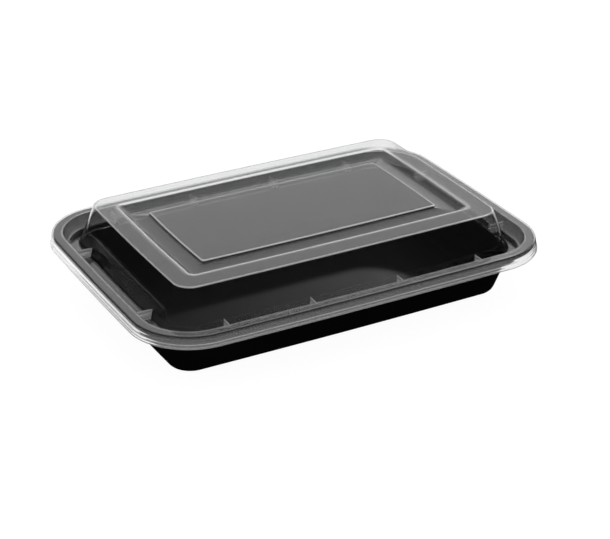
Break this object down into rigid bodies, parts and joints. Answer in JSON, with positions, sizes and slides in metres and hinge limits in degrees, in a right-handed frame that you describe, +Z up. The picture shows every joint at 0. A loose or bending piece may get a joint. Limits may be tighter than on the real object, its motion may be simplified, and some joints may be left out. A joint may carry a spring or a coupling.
{
  "type": "takeaway meal container",
  "caption": "Rectangular takeaway meal container: a glossy black tray with a flared rim under a clear fitted lid with a raised dome.",
  "frame": {"origin": "middle of the tray's underside, on the surface that it stands on", "axes": "+X along the long side, +Y along the short side, +Z up through the lid"},
  "size_m": [0.222, 0.1578, 0.045],
  "materials": {
    "tray": "glossy black polypropylene, faintly uneven",
    "lid": "clear polypropylene with a slight milky haze"
  },
  "bodies": {
    "root": {"tray": "tray", "lid": "lid"}
  },
  "joints": []
}
